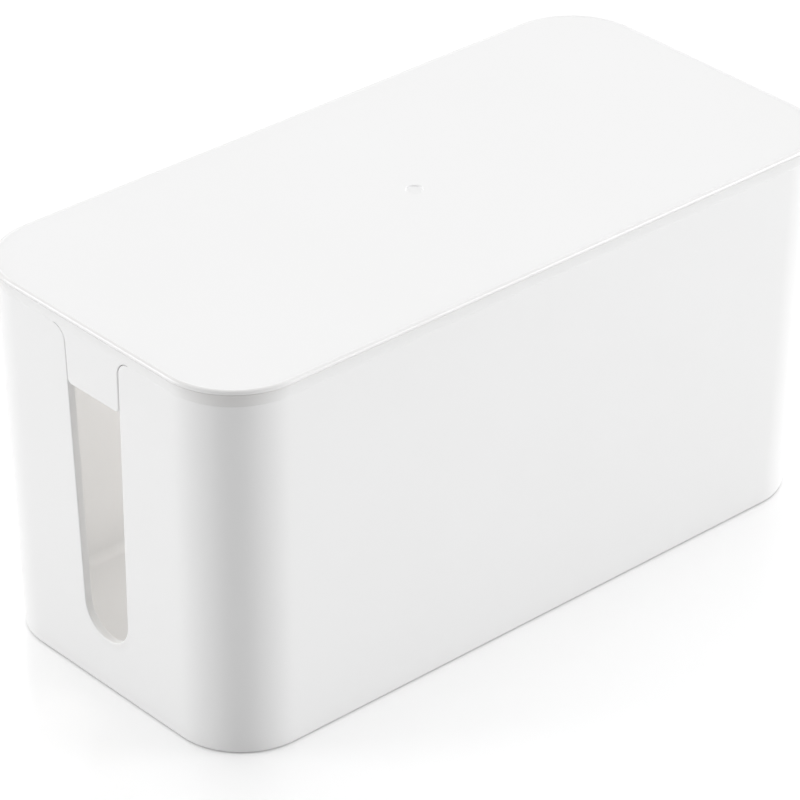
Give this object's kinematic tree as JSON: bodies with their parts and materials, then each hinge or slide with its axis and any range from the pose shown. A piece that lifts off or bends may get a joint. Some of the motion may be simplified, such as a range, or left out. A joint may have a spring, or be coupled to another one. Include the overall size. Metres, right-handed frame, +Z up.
{
  "type": "cable management box",
  "caption": "Tapered white plastic box that hides a power strip: open cable slots in its ends, a lift-off lid whose tabs close the tops of the slots, and rubber feet.",
  "frame": {"origin": "on the floor under the middle of the box", "axes": "+X along the long side, +Y across it, +Z up; the end towards -X and the side towards -Y are the ones in the picture"},
  "size_m": [0.236, 0.1144, 0.119],
  "materials": {
    "white_plastic": "satin gloss moulded ABS",
    "foot_rubber": "matt"
  },
  "bodies": {
    "tub": {"tub": "white_plastic", "foot_front_left": "foot_rubber", "foot_front_right": "foot_rubber", "foot_rear_left": "foot_rubber", "foot_rear_right": "foot_rubber"},
    "lid": {"lid": "white_plastic"}
  },
  "joints": [
    {"name": "lid_lift", "type": "slide", "parent": "tub", "child": "lid", "axis": [0, 0, 1], "range_m": [0, 0.08]}
  ]
}
